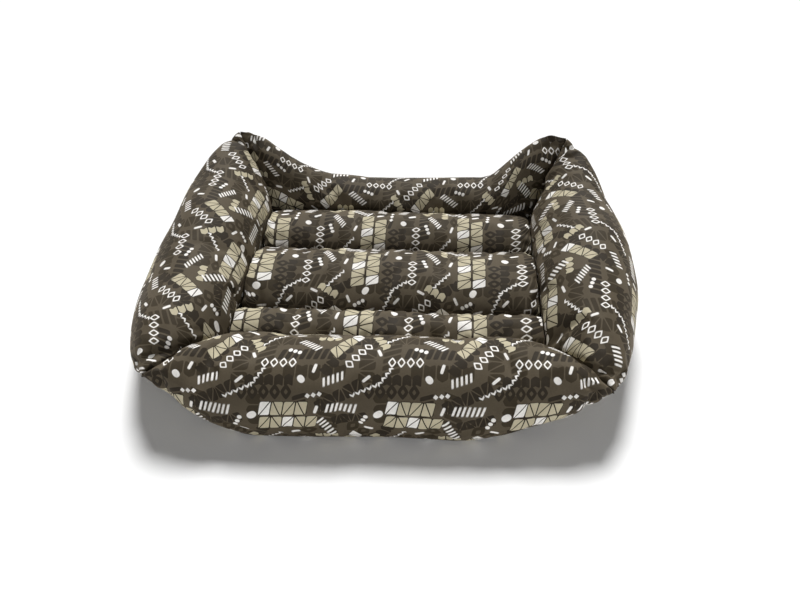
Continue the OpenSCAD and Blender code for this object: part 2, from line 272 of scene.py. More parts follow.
def shape_row_group(repeat: float) -> Tree:
    """Build the group that draws one row of equal shapes, repeated with the print's tile.

    Args:
        repeat: Size of the print's square tile in millimetres.

    Returns:
        The group. Its Mask covers the whole row and its Accent only the picked shape.
    """
    numbers = ("Angle", "Count", "Pitch", "Half width", "Half height", "Corner power")
    numbers += ("Slant", "Bend", "Cut", "Stroke", "Accent index")
    sheet = GroupSheet("Row of printed shapes", ("Place", "Centre"), numbers, ("Mask", "Accent"))
    get, calc, half_tile = sheet.start, sheet.math, (0.5, 0.5, 0.5)
    tiles = sheet.scale(sheet.vector("SUBTRACT", get["Place"], get["Centre"]), 1.0 / repeat)
    wrapped = sheet.vector("FRACTION", sheet.vector("ADD", tiles, half_tile))
    local = sheet.scale(sheet.vector("SUBTRACT", wrapped, half_tile), repeat)
    turned = sheet.node("ShaderNodeVectorRotate", rotation_type="Z_AXIS", invert=True)
    x, y, _ = sheet.split(sheet.fill(turned, Vector=local, Angle=get["Angle"]).outputs[0])
    slanted = calc("SUBTRACT", x, calc("MULTIPLY", y, get["Slant"]))
    half_count = calc("MULTIPLY", get["Count"], 0.5)
    steps = calc("ADD", calc("DIVIDE", slanted, get["Pitch"]), half_count)
    index = calc("FLOOR", steps)
    within = calc("MULTIPLY", calc("SUBTRACT", calc("FRACT", steps), 0.5), get["Pitch"])
    aside = calc("ABSOLUTE", within)
    bent = calc("ABSOLUTE", calc("ADD", y, calc("MULTIPLY", aside, get["Bend"])))
    over_x = calc("POWER", calc("DIVIDE", aside, get["Half width"]), get["Corner power"])
    over_y = calc("POWER", calc("DIVIDE", bent, get["Half height"]), get["Corner power"])
    root = calc("DIVIDE", 1.0, get["Corner power"])
    reach = calc("POWER", calc("ADD", over_x, over_y), root)
    least = calc("MINIMUM", get["Half width"], get["Half height"])
    outside = calc("MULTIPLY", calc("SUBTRACT", reach, 1.0), least)
    half_stroke = calc("MULTIPLY", get["Stroke"], 0.5)
    edge = calc("SUBTRACT", calc("ABSOLUTE", calc("ADD", outside, half_stroke)), half_stroke)
    ink = calc("SUBTRACT", 0.5, calc("MULTIPLY", edge, 2.0), clamp=True)
    on_row = calc("LESS_THAN", calc("ABSOLUTE", calc("SUBTRACT", steps, half_count)), half_count)
    odd = calc("FLOORED_MODULO", index, 2.0)
    leaning = calc("MULTIPLY", within, calc("SUBTRACT", 1.0, calc("MULTIPLY", odd, 2.0)))
    from_cut = calc("ABSOLUTE", calc("SUBTRACT", calc("MULTIPLY", y, 0.6), leaning))
    cut = calc("MULTIPLY", calc("SUBTRACT", get["Cut"], from_cut), 3.0, clamp=True)
    mask = calc("MULTIPLY", calc("MULTIPLY", ink, on_row), calc("SUBTRACT", 1.0, cut))
    picked = calc("COMPARE", index, get["Accent index"], 0.1)
    sheet.fill(sheet.end, Mask=mask, Accent=calc("MULTIPLY", mask, picked))
    return sheet.tree


@dataclass(frozen=True)
class PrintedRow:
    """One row of shapes in the print's tile, in millimetres and degrees."""

    x: float
    y: float
    angle: float
    count: int
    pitch: float
    half_width: float
    half_height: float
    corner_power: float
    slant: float = 0.0
    bend: float = 0.0
    cut: float = 0.0
    stroke: float = 100.0
    accent: int = -1


def printed_rows(*sizes: tuple[float, ...]) -> tuple[PrintedRow, ...]:
    """Rows of shapes from their sizes, which stand in the order of PrintedRow's fields."""
    return tuple(PrintedRow(*row) for row in sizes)


@dataclass(frozen=True)
class TossedPrint:
    """The cloth's print: leaning blocks, rings, dots and sticks tossed over darker blocks."""

    repeat: float = 160.0
    ground: Colour = srgb(84, 75, 60)
    shade: Colour = srgb(52, 44, 30)
    deep_shade: Colour = srgb(38, 31, 20)
    cream: Colour = srgb(197, 188, 161)
    white: Colour = srgb(250, 247, 242)
    outline: Colour = srgb(38, 31, 20)
    outline_width: float = 0.9
    shade_rows: tuple[PrintedRow, ...] = printed_rows(
        (44, 72, 0, 5, 16.4, 7.4, 10, 5, 0, 0.5, 1),
        (99, 119, 90, 7, 9.4, 3.3, 11.5, 6, 0.35),
        (138, 92, -42, 4, 17, 8, 12, 1.25, 0, 0, 0, 5),
        (84, 15, 0, 5, 16, 7.2, 9.5, 6, 0, -0.5),
        (150, 34, 90, 4, 16, 7, 10.5, 4, 0, 0, 1.2),
        (20, 30, 90, 6, 9.6, 3.4, 11, 7, -0.35),
        (74, 92, 90, 3, 15, 7, 11, 1.25, 0, 0, 0, 5),
        (8, 128, 90, 3, 15, 6.6, 9, 6, 0, 0.5),
    )
    deep_rows: tuple[PrintedRow, ...] = printed_rows(
        (72, 43, 0, 8, 9, 3.3, 8.5, 5, 0.3),
        (14, 96, 60, 5, 14, 6.2, 7.4, 6, 0, 0.55),
        (22, 152, 0, 5, 14, 6.8, 9.6, 1.25, 0, 0, 0, 4.4),
        (116, 146, 28, 5, 13.4, 6, 8.6, 5, 0, 0, 1),
        (112, 34, 52, 4, 13, 5.8, 7.2, 6, 0, -0.55),
        (66, 126, 90, 6, 8, 2.9, 8.6, 5, -0.3),
        (150, 66, 0, 4, 12, 5.4, 8, 7, -0.2, 0, 1),
        (28, 8, 0, 5, 12.4, 5.6, 6.4, 6, 0, 0.5),
        (128, 112, 15, 4, 12.4, 5.6, 7.4, 5, 0, 0, 1),
    )
    cream_rows: tuple[PrintedRow, ...] = printed_rows(
        (45, 130, 0, 4, 15.2, 6.8, 9.2, 9, 0.24, 0, 1, 100, 0),
        (49, 108, 0, 5, 14.8, 6.6, 9.6, 9, 0.24, 0, 1, 100, 2),
        (121, 62, 52, 4, 13, 5.8, 8.2, 9, 0.24, 0, 0.9, 100, 3),
        (6, 66, -60, 3, 11.4, 4.9, 5.4, 6, 0, 0.6),
        (96, 76, 0, 3, 10.4, 4.4, 5, 6, 0, -0.6),
    )
    white_rows: tuple[PrintedRow, ...] = printed_rows(
        (138, 41, 52, 4, 11.6, 5, 7, 1.2, 0, 0, 0, 2),
        (118, 129, 0, 7, 6, 1.6, 6.4, 6, 0.3),
        (38, 30, 0, 4, 11.6, 5, 7, 1.2, 0, 0, 0, 2),
        (97, 96, -62, 6, 6, 1.5, 6, 6, -0.3),
        (24, 76, 42, 5, 7.6, 3.2, 1.5, 6, 0, 0.9),
        (74, 60, -35, 7, 4.6, 1.2, 4.8, 6, 0.3),
        (148, 152, 24, 5, 7.6, 3.2, 1.5, 6, 0, -0.9),
        (5, 121, 30, 1, 16, 6.4, 4.8, 2.2),
        (84, 148, 8, 3, 7.4, 3.2, 3.2, 1.1),
        (86, 128, 70, 1, 16, 6, 2, 4),
        (57, 88, 18, 1, 16, 6, 2, 4),
        (84, 22, 75, 1, 16, 6, 2, 4),
        (152, 96, -25, 1, 16, 6, 2, 4),
        (150, 8, 40, 1, 16, 6, 2, 4),
        (4, 44, -65, 1, 16, 5.6, 2, 4),
        (108, 8, 20, 5, 6, 1.5, 5.4, 6, 0.3),
        (146, 112, 60, 3, 6.6, 2.7, 3, 2),
        (56, 48, -20, 3, 6.6, 2.7, 3, 2),
        (12, 12, 55, 4, 7.4, 3.1, 1.5, 6, 0, 0.9),
        (68, 8, -50, 1, 16, 5.4, 4.2, 2.2),
    )

    def group(self) -> Tree:
        """Build the group that colours the printed cloth from its own coordinates."""
        row_tree = shape_row_group(self.repeat)
        sheet = GroupSheet("Tossed print", ("Place",), (), ("Color",))
        in_mm = sheet.scale(sheet.start["Place"], 1 / MM)

        def drawn(rows: Sequence[PrintedRow], grow: float = 0.0) -> list[Socket]:
            """Draw rows over one another.

            Args:
                rows: The rows.
                grow: How much larger each shape is drawn.

            Returns:
                The mask of all rows and the mask of their picked shapes.
            """
            masks: list[object] = [0.0, 0.0]
            for row in rows:
                made = sheet.group(
                    row_tree,
                    Place=in_mm,
                    Centre=(row.x, row.y, 0.0),
                    Angle=math.radians(row.angle),
                    Count=row.count,
                    Pitch=row.pitch,
                    Half_width=row.half_width + grow,
                    Half_height=row.half_height + grow,
                    Corner_power=row.corner_power,
                    Slant=row.slant,
                    Bend=row.bend,
                    Cut=max(row.cut - grow, 0.0),
                    Stroke=row.stroke,
                    Accent_index=row.accent,
                )
                masks = [sheet.math("MAXIMUM", old, new) for old, new in zip(masks, made.outputs)]
            return masks

        cream, accent = drawn(self.cream_rows)
        colour: object = self.ground
        for mask, ink in (
            (drawn(self.shade_rows)[0], self.shade),
            (drawn(self.deep_rows)[0], self.deep_shade),
            (drawn(self.cream_rows, self.outline_width)[0], self.outline),
            (cream, self.cream),
            (accent, self.white),
            (drawn(self.white_rows)[0], self.white),
        ):
            colour = sheet.mixed(mask, colour, ink)
        sheet.fill(sheet.end, Color=colour)
        return sheet.tree


def weave_group() -> Tree:
    """Build the group for a plain weave, whose threads pass over and under each other.

    Returns:
        The group. Height feeds a Bump node, Wear varies slowly and Fleck from thread to thread.
    """
    sheet = GroupSheet("Plain weave", ("Place",), ("Threads per metre",), ("Height", "Wear", "Fleck"))
    place = sheet.start["Place"]
    threads = sheet.split(sheet.scale(place, sheet.start["Threads per metre"]))[:2]
    waves = [sheet.math("SINE", sheet.math("MULTIPLY", axis, math.pi)) for axis in threads]
    checks = sheet.math("MULTIPLY", sheet.math("MULTIPLY", *waves), 0.5)
    sheet.fill(
        sheet.end,
        Height=sheet.math("ADD", checks, sheet.noise(place, 700.0, 1.0)),
        Wear=sheet.noise(place, 9.0, 3.0),
        Fleck=sheet.noise(place, 420.0, 2.0),
    )
    return sheet.tree


# Finishes


@dataclass(frozen=True)
class ClothFinish:
    """A woven cloth. The print is laid over it where there is one."""

    name: str
    colour: Colour = TossedPrint.ground
    roughness: float = 0.72
    roughness_play: float = 0.06
    sheen: float = 0.08
    sheen_tint: Colour = srgb(236, 214, 180)
    sheen_roughness: float = 0.45
    specular: float = 0.2
    threads_per_metre: float = 1500.0
    weave_strength: float = 0.5
    weave_depth: float = 0.00018
    by_map: bool = True

    def material(self, weave: Tree, printed: Tree | None = None) -> Material:
        """Build the material.

        Args:
            weave: The weave's node group.
            printed: The print's node group, for a printed cloth.

        Returns:
            The material.
        """
        sheet = MaterialSheet(self.name)
        place = sheet.cloth_place() if self.by_map else sheet.place()
        cloth = sheet.group(weave, Place=place, Threads_per_metre=self.threads_per_metre).outputs
        colour: object = self.colour
        if printed is not None:
            colour = sheet.group(printed, Place=place).outputs["Color"]
        tint, wear = sheet.spread(cloth["Fleck"], 0.86, 1.14), sheet.spread(cloth["Wear"], 0.9, 1.1)
        level = sheet.math("MULTIPLY", tint, wear)
        grey = sheet.node("ShaderNodeCombineColor", level, level, level).outputs[0]
        low, high = self.roughness - self.roughness_play, self.roughness + self.roughness_play
        sheet.fill(
            sheet.shader,
            Base_Color=sheet.mixed(1.0, colour, grey, "MULTIPLY"),
            Roughness=sheet.spread(cloth["Wear"], low, high),
            Sheen_Weight=self.sheen,
            Sheen_Tint=self.sheen_tint,
            Sheen_Roughness=self.sheen_roughness,
            Specular_IOR_Level=self.specular,
        )
        sheet.bump(cloth["Height"], self.weave_strength, self.weave_depth)
        return sheet.made


@dataclass(frozen=True)
class GripFinish:
    """A coarse cloth with small raised rubber dots that keep the bed from sliding."""

    name: str = "Non-slip base cloth"
    cloth: Colour = srgb(44, 43, 41)
    fleck: Colour = srgb(66, 64, 60)
    dot: Colour = srgb(24, 24, 24)
    dot_pitch: float = 0.008
    dot_radius_share: float = 0.22
    dot_height: float = 0.0006
    dot_edge: float = 14.0
    threads_per_metre: float = 900.0

    def material(self, weave: Tree) -> Material:
        """Build the material.

        Args:
            weave: The weave's node group.

        Returns:
            The material.
        """
        sheet = MaterialSheet(self.name)
        place = sheet.place()
        tiles = sheet.vector("FRACTION", sheet.scale(place, 1.0 / self.dot_pitch))
        inside = sheet.vector("SUBTRACT", tiles, (0.5, 0.5, 0.0))
        flat = sheet.vector("MULTIPLY", inside, (1.0, 1.0, 0.0))
        length = sheet.node("ShaderNodeVectorMath", flat, operation="LENGTH").outputs["Value"]
        near = sheet.math("SUBTRACT", self.dot_radius_share, length)
        dots = sheet.math("MULTIPLY", near, self.dot_edge, clamp=True)
        cloth = sheet.group(weave, Place=place, Threads_per_metre=self.threads_per_metre).outputs
        colour = sheet.mixed(dots, sheet.mixed(cloth["Fleck"], self.cloth, self.fleck), self.dot)
        sheet.fill(sheet.shader, Base_Color=colour, Roughness=sheet.spread(dots, 0.85, 0.5))
        height = sheet.math("ADD", dots, sheet.math("MULTIPLY", cloth["Height"], 0.3))
        sheet.bump(height, 0.6, self.dot_height)
        return sheet.made


@dataclass(frozen=True)
class FibreFinish:
    """White polyester fibre."""

    name: str = "Polyester fibre"
    light: Colour = srgb(240, 239, 234)
    dark: Colour = srgb(205, 203, 197)

    def material(self) -> Material:
        """Build the material."""
        sheet = MaterialSheet(self.name)
        tufts = sheet.noise(sheet.place(), 180.0, 5.0)
        colour = sheet.mixed(tufts, self.dark, self.light)
        sheet.fill(sheet.shader, Base_Color=colour, Roughness=sheet.spread(tufts, 0.85, 1.0))
        sheet.bump(tufts, 0.8, 0.002)
        return sheet.made


def make_wardrobe() -> dict[Slot, Material]:
    """Build every material of the bed once."""
    weave = weave_group()
    tape = ClothFinish(
        "Seam tape and thread", srgb(46, 43, 37), roughness=0.85, threads_per_metre=2200.0, by_map=False
    )
    return {
        Slot.PRINT: ClothFinish("Printed cloth").material(weave, TossedPrint().group()),
        Slot.LINING: ClothFinish("Plain lining", srgb(62, 58, 50), roughness=0.8).material(weave),
        Slot.THREAD: tape.material(weave),
        Slot.BASE: GripFinish().material(weave),
        Slot.FIBRE: FibreFinish().material(),
    }


# Meshes and cloth


def put_in_scene(name: str, data: bpy.types.ID) -> Thing:
    """Make an object of a mesh, a lamp or a camera.

    Args:
        name: Its name.
        data: What it shows.

    Returns:
        The object, linked to the scene.
    """
    made = bpy.data.objects.new(name, data)
    bpy.context.scene.collection.objects.link(made)
    return made


@dataclass
class Piece:
    """A closed mesh, the nodes that it stands for and the body that it rides on.

    places are where its face corners lie on the flat cloth. fill is how firmly it is padded, and is
    not used. finer is how many levels of subdivision it gets. wardrobe holds each slot's material.
    """

    wardrobe: ClassVar[dict[Slot, Material]] = {}
    name: str
    points: np.ndarray
    faces: Faces
    nodes: Sequence[str]
    slot: Slot = Slot.THREAD
    body: Body = Body.BED
    places: Sequence[tuple[float, float]] = ()
    fill: float = 0.0
    finer: int = 0

    def mesh(self, smooth: bool = True) -> Thing:
        """Make the object, in its slot's material.

        Args:
            smooth: True to shade it smoothly.

        Returns:
            The object, linked to the scene.
        """
        mesh = bpy.data.meshes.new(self.name)
        mesh.from_pydata([tuple(p) for p in self.points], [], self.faces)
        if self.places:
            layer = mesh.uv_layers.new(name=CLOTH_MAP)
            layer.uv.foreach_set("vector", np.asarray(self.places, np.float32).ravel())
        mesh.materials.append(self.wardrobe[self.slot])
        mesh.validate()
        mesh.update()
        if smooth:
            mesh.shade_smooth()
        return put_in_scene(self.name, mesh)

    def dress(self, made: Thing) -> Thing:
        """Subdivide the object, attach it to its body, and hide and log the imported parts that it stands
        for.

        Args:
            made: The object.

        Returns:
            The same object.
        """
        if self.finer:
            smoother = made.modifiers.new("Subdivision", "SUBSURF")
            smoother.levels = smoother.render_levels = self.finer
        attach(made, self.body.value)
        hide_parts(*self.nodes)
        log.info("%s stands for %s", made.name, ", ".join(self.nodes))
        return made

    def make(self, smooth: bool = True) -> Thing:
        """Make and dress the object, with its faces turned outward.

        Args:
            smooth: True to shade it smoothly.

        Returns:
            The object.
        """
        made = self.mesh(smooth)
        work = bmesh.new()
        work.from_mesh(made.data)
        bmesh.ops.recalc_face_normals(work, faces=work.faces)
        work.to_mesh(made.data)
        work.free()
        return self.dress(made)


def read_points(made: Thing) -> np.ndarray:
    """The points of an object's mesh, one in each row."""
    return np.array([v.co for v in made.data.vertices], np.float64)


def write_points(made: Thing, points: np.ndarray) -> None:
    """Move the points of an object's mesh."""
    made.data.vertices.foreach_set("co", points.astype(np.float32).ravel())
    made.data.update()


def point_normals(made: Thing) -> np.ndarray:
    """The normal at each point of an object's mesh."""
    return np.array([n.vector for n in made.data.vertex_normals], np.float64)


def cells(rows: int, columns: int) -> list[list[tuple[int, int]]]:
    """The four places round each cell of a grid, row by row."""
    corners = ((0, 0), (0, 1), (1, 1), (1, 0))
    return [[(i + a, j + b) for a, b in corners] for i in range(rows) for j in range(columns)]


def loft(rings: np.ndarray, closed: bool = False) -> Solid:
    """A closed solid through rings of points.

    Args:
        rings: The rings, one row of points each.
        closed: Whether the last ring joins the first. If not, each gets a flat end.

    Returns:
        Its points and faces.
    """
    rows, columns = rings.shape[:2]
    faces = [
        tuple(a % rows * columns + b % columns for a, b in cell)
        for cell in cells(rows if closed else rows - 1, columns)
    ]
    if not closed:
        faces.append(tuple(reversed(range(columns))))
        faces.append(tuple(range((rows - 1) * columns, rows * columns)))
    return rings.reshape(-1, 3), faces


def hoop(path: np.ndarray, half: np.ndarray, rise: np.ndarray) -> Solid:
    """A closed band of even section round a closed path.

    Args:
        path: The points of the path.
        half: How far each point of the section lies outside the path.
        rise: How far each point of the section lies above the path.

    Returns:
        Its points and faces.
    """
    tangent = np.roll(path, -1, 0) - np.roll(path, 1, 0)
    tangent /= np.linalg.norm(tangent, axis=1, keepdims=True)
    side = np.cross(tangent, UP)
    rings = path[:, None] + half[None, :, None] * side[:, None] + rise[None, :, None] * UP
    return loft(rings, closed=True)


def tube(path: np.ndarray, radii: tuple[float, float], side: np.ndarray, sides: int = 10) -> Solid:
    """A closed rod of oval section along a path.

    Args:
        path: Its middle line.
        radii: Half its width along side, and half its other width.
        side: Direction of the first width.
        sides: Points round it.

    Returns:
        Its points and faces.
    """
    tangent = np.gradient(path, axis=0)
    tangent /= np.linalg.norm(tangent, axis=1, keepdims=True)
    side = np.broadcast_to(side, path.shape)
    side = side - np.sum(side * tangent, 1, keepdims=True) * tangent
    side /= np.linalg.norm(side, axis=1, keepdims=True)
    turn = (TURN * np.arange(sides) / sides)[None, :, None]
    across = radii[0] * np.cos(turn) * side[:, None]
    return loft(path[:, None] + across + radii[1] * np.sin(turn) * np.cross(tangent, side)[:, None])


def run_length(points: np.ndarray, axis: int = 0) -> np.ndarray:
    """How far each point of a path or a grid lies from its start, along an axis.

    Args:
        points: The path's or grid's points.
        axis: The axis that is followed.

    Returns:
        One distance for each point.
    """
    steps = np.linalg.norm(np.diff(points, axis=axis), axis=-1)
    return np.concatenate([0 * np.take(steps, [0], axis), np.cumsum(steps, axis)], axis)


def join_parts(parts: Sequence[Solid]) -> Solid:
    """Put separate solids into one list of points and faces.

    Args:
        parts: The solids.

    Returns:
        Their points and faces.
    """
    faces, count = [], 0
    for points, part_faces in parts:
        faces += [tuple(v + count for v in f) for f in part_faces]
        count += len(points)
    return np.concatenate([points for points, _ in parts]), faces


@dataclass(frozen=True)
class Stitching:
    """A row of short threads that lie on the cloth."""

    width: float
    length: float = 0.006
    step: float = 0.011
    rise: float = 0.0003

    def along(self, *paths: Sequence[Sequence[float]]) -> Solid:
        """Stitches along paths.

        Args:
            paths: Each row's line, on the cloth.

        Returns:
            Points and faces of all stitches.
        """
        parts = []
        for path in map(np.array, paths):
            run = run_length(path)
            count = int((run[-1] - self.length) // self.step) + 1
            spare = (run[-1] - (count - 1) * self.step - self.length) / 2
            for k in range(count):
                at = spare + k * self.step + self.length * np.linspace(0, 1, 5)
                line = np.stack([np.interp(at, run, path[:, axis]) for axis in range(3)], -1)
                line[:, 2] += self.rise * np.sin(math.pi * np.linspace(0.12, 0.88, 5))
                parts.append(tube(line, (self.width / 2, self.width / 2), UP, sides=6))
        return join_parts(parts)


def at_height(plan: np.ndarray, height: float | np.ndarray) -> np.ndarray:
    """Points of the floor plane, raised to one height or to a height each."""
    return np.concatenate([plan, np.broadcast_to(height, plan.shape[:-1])[..., None]], -1)


def low_pass(field_rows: np.ndarray, steps: float, wraps: bool) -> np.ndarray:
    """The slow part of a field on a grid.

    Args:
        field_rows: The field, a vector for each row and column.
        steps: How wide the smoothing is, in grid steps.
        wraps: Whether the rows close on themselves.

    Returns:
        The smoothed field.
    """
    reach = int(3 * steps)
    weights = np.exp(-0.5 * (np.arange(-reach, reach + 1) / steps) ** 2)
    weights /= weights.sum()
    found = field_rows
    for axis, mode in ((0, "edge"), (1, "wrap" if wraps else "edge")):
        pads = [(0, 0)] * found.ndim
        pads[axis] = (reach, reach)
        padded = np.pad(found, pads, mode=mode)
        count = found.shape[axis]
        found = sum(w * np.take(padded, range(k, k + count), axis) for k, w in enumerate(weights))
    return found


@dataclass(frozen=True)
class Inflation:
    """A cloth simulation: the cover is a little larger than its shape, and its filling blows it up."""

    pressure: float = 4.0
    spare_share: float = 0.035
    frames: int = 18
    cap: float = 0.011
    stiffness: float = 12.0
    bending: float = 0.6
    slow_steps: float = 6.0
    hold_back: float = 0.8

    def run(self, made: Thing, held: np.ndarray, grids: Sequence[tuple[np.ndarray, bool]]) -> None:
        """Blow the cover up and keep the result in its mesh.

        The wide, slow part of the move is mostly taken back, so that the cover keeps its measured
        outline and gains the folds.

        Args:
            made: The cover, a closed mesh.
            held: How firmly each point is held, from 0 to 1.
            grids: Indices of the points in rows and columns, and whether the rows close on themselves.
        """
        before = read_points(made)
        pins = made.vertex_groups.new(name="Pins")
        for index in np.nonzero(held > 0.001)[0]:
            pins.add([int(index)], float(held[index]), "REPLACE")
        modifier = made.modifiers.new("Cloth", "CLOTH")
        cloth = modifier.settings
        cloth.quality = 6
        cloth.mass = 0.25
        cloth.vertex_group_mass = pins.name
        cloth.use_pressure = True
        cloth.uniform_pressure_force = self.pressure
        cloth.shrink_min = -self.spare_share
        cloth.tension_stiffness = cloth.compression_stiffness = self.stiffness
        cloth.shear_stiffness = self.stiffness / 2
        cloth.bending_stiffness = self.bending
        cloth.tension_damping = cloth.compression_damping = 8.0
        cloth.air_damping = 4.0
        cloth.effector_weights.gravity = 0.0
        modifier.collision_settings.use_collision = False
        modifier.point_cache.frame_start = 1
        modifier.point_cache.frame_end = self.frames
        scene = bpy.context.scene
        for number in range(1, self.frames + 1):
            scene.frame_set(number)
        blown = made.evaluated_get(bpy.context.evaluated_depsgraph_get())
        after = np.array([v.co for v in blown.to_mesh().vertices], np.float64)
        blown.to_mesh_clear()
        made.modifiers.remove(modifier)
        made.vertex_groups.clear()
        scene.frame_set(1)
        move = after - before
        log.info("%s swelled by up to %.1f mm", made.name, np.linalg.norm(move, axis=1).max() / MM)
        for grid, wraps in grids:
            move[grid] -= self.hold_back * low_pass(move[grid], self.slow_steps, wraps)
        length = np.linalg.norm(move, axis=1, keepdims=True)
        write_points(made, before + move * np.minimum(1.0, self.cap / np.maximum(length, 1e-9)))


# Length of each slow wave of the cloth, its direction in the floor plane in degrees, its tilt and phase
SLOW_WAVES = ((0.21, 20, 0.6, 0.4), (0.165, 105, -0.8, 2.1), (0.13, 62, 1.1, 4.0), (0.25, 150, 0.3, 1.2))


def ripple(points: np.ndarray) -> np.ndarray:
    """A slow, uneven ripple over space.

    Args:
        points: Where it is read.

    Returns:
        One value for each point, between about -1 and 1.
    """
    total = np.zeros(len(points))
    for length, heading, tilt, phase in SLOW_WAVES:
        a = math.radians(heading)
        along = points[:, 0] * math.cos(a) + points[:, 1] * math.sin(a) + points[:, 2] * tilt
        total += np.sin(TURN * along / length + phase)
    return total / len(SLOW_WAVES)


@dataclass(frozen=True)
class Folds:
    """Folds that a seam draws into the cloth, closer together and wider apart by turns.

    length is that of one fold, and sway_length that of one such turn, both along the seam. sway is
    how far the folds are shifted by it, as an angle.
    """

    length: float
    sway: float
    sway_length: float
    depth: float

    def at(self, place: np.ndarray, shift: float = 0.0, lead: float = 0.0) -> np.ndarray:
        """Height of the folds.

        Args:
            place: Where it is read, along the seam.
            shift: Angle by which the sway is moved on.
            lead: Angle by which the folds are moved on.

        Returns:
            One value for each place, between -depth and depth.
        """
        swayed = self.sway * np.sin(TURN * place / self.sway_length + shift)
        return self.depth * np.sin(TURN * place / self.length + swayed + lead)


def gathers(place: np.ndarray, shift: float, wide: Folds, fine: Folds) -> np.ndarray:
    """Height of wide folds with fine ones between them."""
    return wide.at(place, shift, shift) + fine.at(place, -shift)


# The bed


@dataclass(frozen=True)
class Corner:
    """A corner where two bolsters are sewn together, in metres."""

    at: tuple[float, float]
    lean: tuple[float, float]
    height: float
    bow: float
    round_share: float = 0.28
    round_depth: float = 0.016
    round_reach: float = 0.030

    @property
    def flat_lean(self) -> np.ndarray:
        """The corner's lean as a direction in space."""
        return np.array([*self.lean, 0.0])

    def seam(self, f: np.ndarray, floor: float) -> np.ndarray:
        """Points of the seam at shares of its way, 0 at the nest and 1 at its outer end."""
        plan = np.array(self.at) + np.array(self.lean) * f[:, None]
        return at_height(plan, mix(floor, self.height, f) + self.bow * 4 * f * (1 - f))

    def blunt(self, points: np.ndarray) -> np.ndarray:
        """Round off what lies near the seam's outer end, as the stuffed cloth does there.

        Args:
            points: Points of a piece.

        Returns:
            The points, drawn back near that end.
        """
        tip = np.array([self.at[0] + self.lean[0], self.at[1] + self.lean[1], self.height])
        foot = np.array([*self.at, 0.0])
        back = tip + (foot - tip) / np.linalg.norm(foot - tip) * self.round_depth
        near = 1 - np.clip(np.linalg.norm(points - tip, axis=1) / self.round_reach, 0, 1) ** 2
        return points + (back - points) * (self.round_share * near * near)[:, None]


@dataclass(frozen=True)
class Nest:
    """The opening that the bolsters close, and the levels on its floor, in metres.

    overhang is how far the bolsters lean over the cushion. It grows from one height over another,
    and fades from one share of the way to the corner over another.
    """

    half_width: float = 0.225
    front: float = -0.1549
    rear: float = 0.1891
    cover_floor: float = 0.0018
    overhang: float = 0.004
    overhang_foot: float = 0.05
    overhang_rise: float = 0.035
    overhang_end: float = 0.8
    overhang_fade: float = 0.2

    @property
    def middle(self) -> float:
        """Y of the nest's centre."""
        return (self.front + self.rear) / 2

    @property
    def half_depth(self) -> float:
        """Half the nest's size from front to rear."""
        return (self.rear - self.front) / 2

    def lean(self, height: np.ndarray, away: np.ndarray) -> np.ndarray:
        """How far a bolster's inner face leans over the cushion, by height and share to the corner."""
        grown = self.overhang * ease((height - self.overhang_foot) / self.overhang_rise)
        return grown * (1 - ease((np.abs(away) - self.overhang_end) / self.overhang_fade))


@dataclass(frozen=True)
class BolsterEnd:
    """How a bolster runs out into a corner, in metres.

    reach is how far the corner's own lean is felt, and plump is how far the end's taper reaches.
    """

    corner: Corner
    reach: float
    plump: float
    hold: float = 1.0
    taper: float = 1.0


